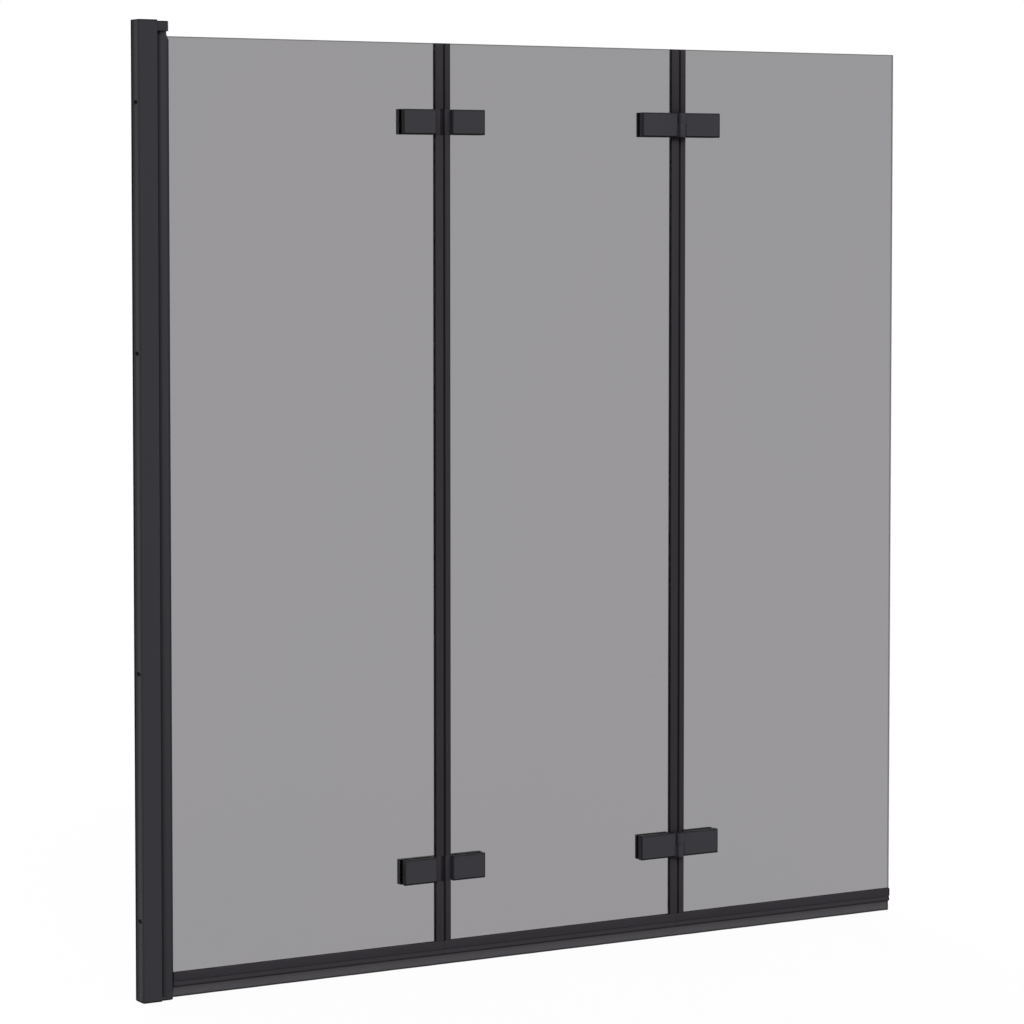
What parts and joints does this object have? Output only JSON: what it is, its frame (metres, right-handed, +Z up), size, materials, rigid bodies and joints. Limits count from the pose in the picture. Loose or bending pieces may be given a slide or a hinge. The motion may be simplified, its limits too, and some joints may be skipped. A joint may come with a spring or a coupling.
{
  "type": "folding shower enclosure",
  "caption": "Folding smoked-glass bath screen: panes hinged in a zig-zag from a pivot post in an adjustable wall channel, with fold seals and a drip skirt.",
  "frame": {"origin": "on the wall face of the wall channel, at its centre line and bottom end, which stands on the bath rim", "axes": "+X out from the wall along the closed screen, +Y through the glass away from the bath side shown by the drip fin, +Z up"},
  "size_m": [1.3, 0.0376, 1.38],
  "materials": {
    "profile_metal": "satin dark anodised extrusion",
    "hinge_metal": "satin dark coated casting",
    "smoked_glass": "grey tinted toughened",
    "rigid_seal": "extruded, satin",
    "soft_skirt": "flexible translucent grey",
    "upright_seal": "extruded, satin",
    "clear_rubber": "matt",
    "steel_pin": "ground",
    "screw_steel": "black oxide",
    "black_plastic": "moulded, satin",
    "moulded_plastic": "moulded, fine matt"
  },
  "bodies": {
    "wall_frame": {"wall_profile": "profile_metal", "profile_cap": "black_plastic", "inner_profile": "profile_metal", "post_lip_seal": "upright_seal", "top_bracket": "moulded_plastic", "bottom_bracket": "moulded_plastic", "top_pivot_pin": "steel_pin", "bottom_pivot_pin": "steel_pin"},
    "panel_1": {"pivot_post": "profile_metal", "post_top_plug": "moulded_plastic", "post_bottom_plug": "moulded_plastic", "post_glazing_gasket": "clear_rubber", "glass_1": "smoked_glass", "bottom_rail_1": "rigid_seal", "drip_skirt_1": "soft_skirt", "hinge_1_lower_block_a": "hinge_metal", "hinge_1_lower_plate_a": "hinge_metal", "hinge_1_lower_pin": "steel_pin", "hinge_1_upper_block_a": "hinge_metal", "hinge_1_upper_plate_a": "hinge_metal", "hinge_1_upper_pin": "steel_pin", "hinge_1_gaskets_a": "clear_rubber", "hinge_1_screws_a": "screw_steel", "fold_1_seal_a": "upright_seal"},
    "panel_2": {"glass_2": "smoked_glass", "bottom_rail_2": "rigid_seal", "drip_skirt_2": "soft_skirt", "hinge_1_lower_block_b": "hinge_metal", "hinge_1_lower_plate_b": "hinge_metal", "hinge_1_upper_block_b": "hinge_metal", "hinge_1_upper_plate_b": "hinge_metal", "hinge_1_gaskets_b": "clear_rubber", "hinge_1_screws_b": "screw_steel", "fold_1_seal_b": "upright_seal", "hinge_2_lower_block_a": "hinge_metal", "hinge_2_lower_plate_a": "hinge_metal", "hinge_2_lower_pin": "steel_pin", "hinge_2_upper_block_a": "hinge_metal", "hinge_2_upper_plate_a": "hinge_metal", "hinge_2_upper_pin": "steel_pin", "hinge_2_gaskets_a": "clear_rubber", "hinge_2_screws_a": "screw_steel", "fold_2_seal_a": "upright_seal"},
    "panel_3": {"glass_3": "smoked_glass", "bottom_rail_3": "rigid_seal", "drip_skirt_3": "soft_skirt", "hinge_2_lower_block_b": "hinge_metal", "hinge_2_lower_plate_b": "hinge_metal", "hinge_2_upper_block_b": "hinge_metal", "hinge_2_upper_plate_b": "hinge_metal", "hinge_2_gaskets_b": "clear_rubber", "hinge_2_screws_b": "screw_steel", "fold_2_seal_b": "upright_seal"}
  },
  "joints": [
    {"name": "wall_pivot", "type": "hinge", "parent": "wall_frame", "child": "panel_1", "pos_m": [0.041, 0, 0.69], "axis": [0, 0, 1], "range_deg": [-90, 5]},
    {"name": "fold_1", "type": "hinge", "parent": "panel_1", "child": "panel_2", "pos_m": [0.488, 0.0133, 0.69], "axis": [0, 0, 1], "range_deg": [0, 180]},
    {"name": "fold_2", "type": "hinge", "parent": "panel_2", "child": "panel_3", "pos_m": [0.8975, -0.0133, 0.69], "axis": [0, 0, -1], "range_deg": [0, 180]}
  ]
}
